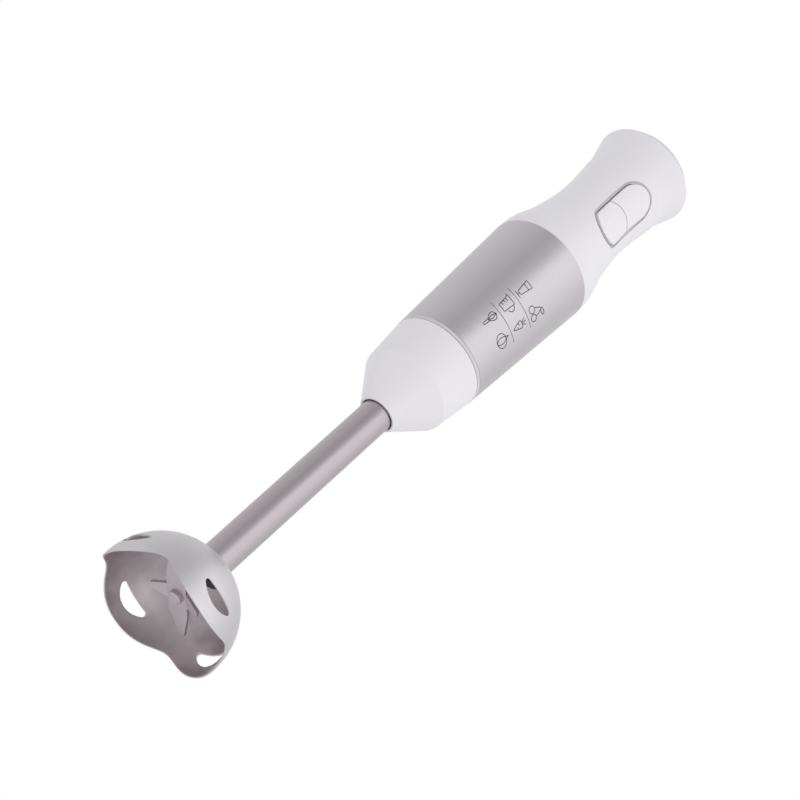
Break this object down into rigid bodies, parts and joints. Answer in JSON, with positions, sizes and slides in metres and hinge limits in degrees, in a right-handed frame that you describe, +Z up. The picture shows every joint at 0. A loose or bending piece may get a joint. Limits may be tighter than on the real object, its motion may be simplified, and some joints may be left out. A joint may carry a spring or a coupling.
{
  "type": "immersion blender",
  "caption": "Stick blender with a round steel foot guard, slim steel tube, white cone, steel-sleeved motor body and waisted white grip.",
  "frame": {"origin": "on the axis, at the level of the guard rim's lowest points, which the blender stands on", "axes": "+Z up the axis from the blade guard to the top cap, -Y out of the buttons"},
  "size_m": [0.066, 0.066, 0.3754],
  "materials": {
    "brushed_steel_guard": "satin, finely brushed",
    "brushed_steel_tube": "brushed along its length",
    "brushed_steel_sleeve": "satin, finely brushed round",
    "blade_steel": "pressed and ground",
    "ground_steel": "ground",
    "zinc_plated_steel": "zinc plated",
    "lamination_steel": "stamped",
    "sintered_bronze": "sintered",
    "copper": "bare",
    "white_plastic": "semi-gloss moulded",
    "grey_plastic": "moulded",
    "black_plastic": "moulded",
    "acetal": "machined",
    "black_rubber": "moulded",
    "ferrite": "ground",
    "carbon": "pressed carbon",
    "board_laminate": "phenolic laminate"
  },
  "bodies": {
    "leg": {"blade_guard": "brushed_steel_guard", "shaft_tube": "brushed_steel_tube", "lower_bush": "acetal", "shaft_seal": "black_rubber", "coupling_cone": "white_plastic", "bearing_carrier": "grey_plastic", "upper_bush": "sintered_bronze", "carrier_screws": "zinc_plated_steel"},
    "drive_line": {"drive_shaft": "ground_steel", "cutting_blade": "blade_steel", "blade_hub": "acetal", "blade_rivet": "ground_steel", "thrust_washer": "acetal", "retaining_clip": "zinc_plated_steel", "driven_dog": "grey_plastic"},
    "lock_seal": {"seal_ring": "black_rubber"},
    "motor_unit": {"bayonet_socket": "white_plastic", "handle_shell": "white_plastic", "steel_sleeve": "brushed_steel_sleeve", "top_cap": "white_plastic", "cord_grommet": "black_rubber", "motor_can": "zinc_plated_steel", "front_bearing": "ground_steel", "rear_bearing": "ground_steel", "motor_magnets": "ferrite", "brush_plate": "grey_plastic", "brushes": "carbon", "motor_screws": "zinc_plated_steel", "motor_damper": "black_rubber", "speed_switch": "black_plastic", "turbo_switch": "black_plastic", "circuit_board": "board_laminate", "board_screws": "zinc_plated_steel", "bridge_rectifier": "black_plastic", "filter_capacitor": "grey_plastic", "motor_choke": "copper"},
    "armature": {"motor_shaft": "ground_steel", "rotor_core": "lamination_steel", "armature_windings": "copper", "commutator": "copper", "cooling_fan": "grey_plastic", "drive_cup": "black_plastic"},
    "speed_button": {"speed_button": "white_plastic"},
    "turbo_button": {"turbo_button": "white_plastic"}
  },
  "joints": [
    {"name": "unit_lift", "type": "slide", "parent": "leg", "child": "lock_seal", "axis": [0, 0, 1], "range_m": [0, 0.045]},
    {"name": "unit_twist", "type": "hinge", "parent": "lock_seal", "child": "motor_unit", "pos_m": [0, 0, 0.19101], "axis": [0, 0, 1], "range_deg": [0, 30]},
    {"name": "armature_spin", "type": "hinge", "parent": "motor_unit", "child": "armature", "pos_m": [0, 0, 0.20811], "axis": [0, 0, 1], "continuous": true},
    {"name": "blade_spin", "type": "hinge", "parent": "leg", "child": "drive_line", "pos_m": [0, 0, 0.013], "axis": [0, 0, 1], "continuous": true},
    {"name": "speed_press", "type": "slide", "parent": "motor_unit", "child": "speed_button", "axis": [0, 1, 0], "range_m": [0, 0.0015], "stiffness_N_per_m": 600, "springref_m": -0.0005},
    {"name": "turbo_press", "type": "slide", "parent": "motor_unit", "child": "turbo_button", "axis": [0, 1, 0], "range_m": [0, 0.0015], "stiffness_N_per_m": 600, "springref_m": -0.0005}
  ],
  "couplings": [
    {"joint": "blade_spin", "follows": "armature_spin", "ratio": 1}
  ]
}
